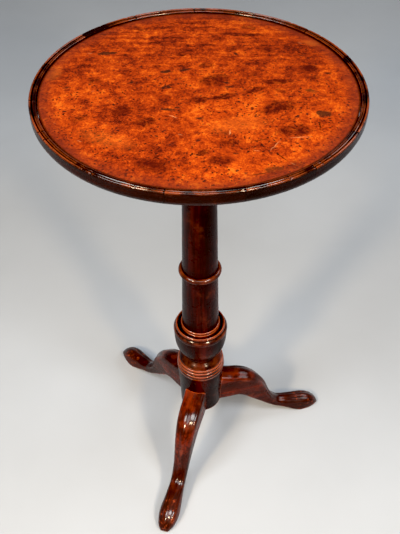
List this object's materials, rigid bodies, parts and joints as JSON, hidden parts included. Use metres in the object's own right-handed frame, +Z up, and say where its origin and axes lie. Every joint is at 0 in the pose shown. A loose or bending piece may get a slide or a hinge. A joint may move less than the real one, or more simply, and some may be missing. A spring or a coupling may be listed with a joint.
{
  "type": "tilt top table",
  "caption": "Small round wine table on a turned pillar and three cabriole legs; the dished top tilts upright and locks level with a sprung brass catch.",
  "frame": {"origin": "middle of the table's footprint on the floor; the pillar's axis is 8.5 mm behind it, at x = 0, y = 0.0085", "axes": "+Z up, the front leg and the catch towards -Y, the tilt pivot's axis along X"},
  "size_m": [0.404, 0.421, 0.7],
  "materials": {
    "burr_veneer": "french polished burr, glossy",
    "mahogany": "dark polished mahogany",
    "red_mahogany": "polished mahogany, red brown, worn on the edges",
    "secondary_wood": "unpolished, planed",
    "brass": "aged brass, handled bright on the edges",
    "spring_steel": "dull drawn wire",
    "wrought_iron": "forged, dark"
  },
  "bodies": {
    "base": {"pillar": "mahogany", "tenon_wedge": "secondary_wood", "tilt_block": "secondary_wood", "leg_front": "red_mahogany", "leg_right": "red_mahogany", "leg_left": "red_mahogany", "spider_plate": "wrought_iron", "spider_screw_leg_front": "wrought_iron", "spider_screw_leg_right": "wrought_iron", "spider_screw_leg_left": "wrought_iron", "spider_screw_hub_front": "wrought_iron", "spider_screw_hub_right": "wrought_iron", "spider_screw_hub_left": "wrought_iron", "strike_plate": "brass", "strike_screw_left": "brass", "strike_screw_right": "brass"},
    "top": {"top_board": "mahogany", "top_veneer": "burr_veneer", "rim_segment_01": "mahogany", "rim_segment_02": "mahogany", "rim_segment_03": "mahogany", "rim_segment_04": "mahogany", "rim_segment_05": "mahogany", "rim_segment_06": "mahogany", "rim_segment_07": "mahogany", "rim_segment_08": "mahogany", "rim_segment_09": "mahogany", "rim_segment_10": "mahogany", "rim_segment_11": "mahogany", "rim_segment_12": "mahogany", "rim_segment_13": "mahogany", "rim_segment_14": "mahogany", "rim_segment_15": "mahogany", "bearer_left": "secondary_wood", "bearer_right": "secondary_wood", "bearer_screw_left_1": "wrought_iron", "bearer_screw_left_2": "wrought_iron", "bearer_screw_left_3": "wrought_iron", "bearer_screw_right_1": "wrought_iron", "bearer_screw_right_2": "wrought_iron", "bearer_screw_right_3": "wrought_iron", "catch_plate": "brass", "catch_case": "brass", "catch_spring": "spring_steel", "catch_screw_left_1": "brass", "catch_screw_left_2": "brass", "catch_screw_right_1": "brass", "catch_screw_right_2": "brass"},
    "catch_bolt": {"catch_bolt": "brass", "catch_knob": "brass"}
  },
  "joints": [
    {"name": "top_tilt", "type": "hinge", "parent": "base", "child": "top", "pos_m": [0, 0.0405, 0.6627], "axis": [-1, 0, 0], "range_deg": [0, 90]},
    {"name": "catch_bolt_slide", "type": "slide", "parent": "top", "child": "catch_bolt", "axis": [0, -1, 0], "range_m": [0, 0.008], "stiffness_N_per_m": 300, "springref_m": -0.006, "deforming": ["catch_spring"]}
  ]
}
